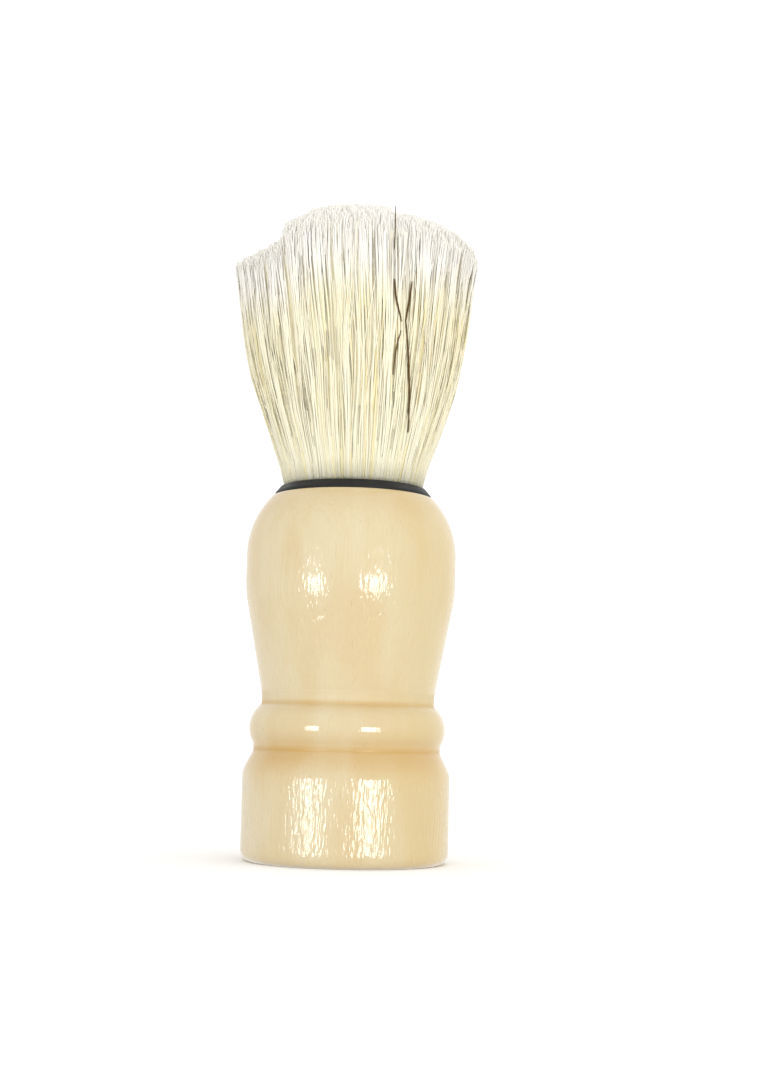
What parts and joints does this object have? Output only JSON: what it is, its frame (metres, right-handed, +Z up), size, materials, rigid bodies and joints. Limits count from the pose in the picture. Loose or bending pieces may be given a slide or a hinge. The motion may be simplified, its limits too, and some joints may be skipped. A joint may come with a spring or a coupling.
{
  "type": "shaving brush",
  "caption": "Shaving brush with a turned, lacquered wooden handle and a domed head of pale bristles in a black ferrule.",
  "frame": {"origin": "centre of the flat base that the brush stands on", "axes": "+Z up along the lathe axis towards the bristle tips; -Y is the side that the picture shows, with +X to its right"},
  "size_m": [0.0383, 0.0388, 0.1021],
  "materials": {
    "lacquered_wood": "gloss",
    "black_plastic": "satin",
    "adhesive": "satin",
    "cast_resin": "gloss",
    "binding_thread": "matte",
    "bristle": "satin"
  },
  "bodies": {
    "brush": {"handle": "lacquered_wood", "ferrule": "black_plastic", "handle_adhesive": "adhesive", "resin_plug": "cast_resin", "knot_binding": "binding_thread", "knot_root": "bristle", "centre_tuft": "bristle"},
    "inner_tuft_1": {"inner_tuft_1": "bristle"},
    "inner_tuft_2": {"inner_tuft_2": "bristle"},
    "inner_tuft_3": {"inner_tuft_3": "bristle"},
    "inner_tuft_4": {"inner_tuft_4": "bristle"},
    "inner_tuft_5": {"inner_tuft_5": "bristle"},
    "inner_tuft_6": {"inner_tuft_6": "bristle"},
    "outer_tuft_1": {"outer_tuft_1": "bristle"},
    "outer_tuft_2": {"outer_tuft_2": "bristle"},
    "outer_tuft_3": {"outer_tuft_3": "bristle"},
    "outer_tuft_4": {"outer_tuft_4": "bristle"},
    "outer_tuft_5": {"outer_tuft_5": "bristle"},
    "outer_tuft_6": {"outer_tuft_6": "bristle"},
    "outer_tuft_7": {"outer_tuft_7": "bristle"},
    "outer_tuft_8": {"outer_tuft_8": "bristle"},
    "outer_tuft_9": {"outer_tuft_9": "bristle"},
    "outer_tuft_10": {"outer_tuft_10": "bristle"},
    "outer_tuft_11": {"outer_tuft_11": "bristle"},
    "outer_tuft_12": {"outer_tuft_12": "bristle"}
  },
  "joints": [
    {"name": "splay_outer_tuft_1", "type": "hinge", "parent": "brush", "child": "outer_tuft_1", "pos_m": [0.01029, 0.00276, 0.0584], "axis": [-0.2588, 0.9659, 0], "range_deg": [0, 10], "stiffness_Nm_per_rad": 0.06},
    {"name": "splay_outer_tuft_2", "type": "hinge", "parent": "brush", "child": "outer_tuft_2", "pos_m": [0.00753, 0.00753, 0.0584], "axis": [-0.7071, 0.7071, 0], "range_deg": [0, 10]},
    {"name": "splay_outer_tuft_3", "type": "hinge", "parent": "brush", "child": "outer_tuft_3", "pos_m": [0.00276, 0.01029, 0.0584], "axis": [-0.9659, 0.2588, 0], "range_deg": [0, 10]},
    {"name": "splay_outer_tuft_4", "type": "hinge", "parent": "brush", "child": "outer_tuft_4", "pos_m": [-0.00276, 0.01029, 0.0584], "axis": [-0.9659, -0.2588, 0], "range_deg": [0, 10]},
    {"name": "splay_outer_tuft_5", "type": "hinge", "parent": "brush", "child": "outer_tuft_5", "pos_m": [-0.00753, 0.00753, 0.0584], "axis": [-0.7071, -0.7071, 0], "range_deg": [0, 10]},
    {"name": "splay_outer_tuft_6", "type": "hinge", "parent": "brush", "child": "outer_tuft_6", "pos_m": [-0.01029, 0.00276, 0.0584], "axis": [-0.2588, -0.9659, 0], "range_deg": [0, 10]},
    {"name": "splay_outer_tuft_7", "type": "hinge", "parent": "brush", "child": "outer_tuft_7", "pos_m": [-0.01029, -0.00276, 0.0584], "axis": [0.2588, -0.9659, 0], "range_deg": [0, 10]},
    {"name": "splay_outer_tuft_8", "type": "hinge", "parent": "brush", "child": "outer_tuft_8", "pos_m": [-0.00753, -0.00753, 0.0584], "axis": [0.7071, -0.7071, 0], "range_deg": [0, 10]},
    {"name": "splay_outer_tuft_9", "type": "hinge", "parent": "brush", "child": "outer_tuft_9", "pos_m": [-0.00276, -0.01029, 0.0584], "axis": [0.9659, -0.2588, 0], "range_deg": [0, 10]},
    {"name": "splay_outer_tuft_10", "type": "hinge", "parent": "brush", "child": "outer_tuft_10", "pos_m": [0.00276, -0.01029, 0.0584], "axis": [0.9659, 0.2588, 0], "range_deg": [0, 10]},
    {"name": "splay_outer_tuft_11", "type": "hinge", "parent": "brush", "child": "outer_tuft_11", "pos_m": [0.00753, -0.00753, 0.0584], "axis": [0.7071, 0.7071, 0], "range_deg": [0, 10]},
    {"name": "splay_outer_tuft_12", "type": "hinge", "parent": "brush", "child": "outer_tuft_12", "pos_m": [0.01029, -0.00276, 0.0584], "axis": [0.2588, 0.9659, 0], "range_deg": [0, 10]},
    {"name": "splay_inner_tuft_1", "type": "hinge", "parent": "brush", "child": "inner_tuft_1", "pos_m": [0.00546, 0.00315, 0.0584], "axis": [-0.5, 0.866, 0], "range_deg": [0, 5]},
    {"name": "splay_inner_tuft_2", "type": "hinge", "parent": "brush", "child": "inner_tuft_2", "pos_m": [0, 0.0063, 0.0584], "axis": [-1, 0, 0], "range_deg": [0, 5]},
    {"name": "splay_inner_tuft_3", "type": "hinge", "parent": "brush", "child": "inner_tuft_3", "pos_m": [-0.00546, 0.00315, 0.0584], "axis": [-0.5, -0.866, 0], "range_deg": [0, 5]},
    {"name": "splay_inner_tuft_4", "type": "hinge", "parent": "brush", "child": "inner_tuft_4", "pos_m": [-0.00546, -0.00315, 0.0584], "axis": [0.5, -0.866, 0], "range_deg": [0, 5]},
    {"name": "splay_inner_tuft_5", "type": "hinge", "parent": "brush", "child": "inner_tuft_5", "pos_m": [0, -0.0063, 0.0584], "axis": [1, 0, 0], "range_deg": [0, 5]},
    {"name": "splay_inner_tuft_6", "type": "hinge", "parent": "brush", "child": "inner_tuft_6", "pos_m": [0.00546, -0.00315, 0.0584], "axis": [0.5, 0.866, 0], "range_deg": [0, 5]}
  ],
  "couplings": [
    {"joint": "splay_outer_tuft_2", "follows": "splay_outer_tuft_1", "ratio": 1},
    {"joint": "splay_outer_tuft_3", "follows": "splay_outer_tuft_1", "ratio": 1},
    {"joint": "splay_outer_tuft_4", "follows": "splay_outer_tuft_1", "ratio": 1},
    {"joint": "splay_outer_tuft_5", "follows": "splay_outer_tuft_1", "ratio": 1},
    {"joint": "splay_outer_tuft_6", "follows": "splay_outer_tuft_1", "ratio": 1},
    {"joint": "splay_outer_tuft_7", "follows": "splay_outer_tuft_1", "ratio": 1},
    {"joint": "splay_outer_tuft_8", "follows": "splay_outer_tuft_1", "ratio": 1},
    {"joint": "splay_outer_tuft_9", "follows": "splay_outer_tuft_1", "ratio": 1},
    {"joint": "splay_outer_tuft_10", "follows": "splay_outer_tuft_1", "ratio": 1},
    {"joint": "splay_outer_tuft_11", "follows": "splay_outer_tuft_1", "ratio": 1},
    {"joint": "splay_outer_tuft_12", "follows": "splay_outer_tuft_1", "ratio": 1},
    {"joint": "splay_inner_tuft_1", "follows": "splay_outer_tuft_1", "ratio": 0.5},
    {"joint": "splay_inner_tuft_2", "follows": "splay_outer_tuft_1", "ratio": 0.5},
    {"joint": "splay_inner_tuft_3", "follows": "splay_outer_tuft_1", "ratio": 0.5},
    {"joint": "splay_inner_tuft_4", "follows": "splay_outer_tuft_1", "ratio": 0.5},
    {"joint": "splay_inner_tuft_5", "follows": "splay_outer_tuft_1", "ratio": 0.5},
    {"joint": "splay_inner_tuft_6", "follows": "splay_outer_tuft_1", "ratio": 0.5}
  ]
}
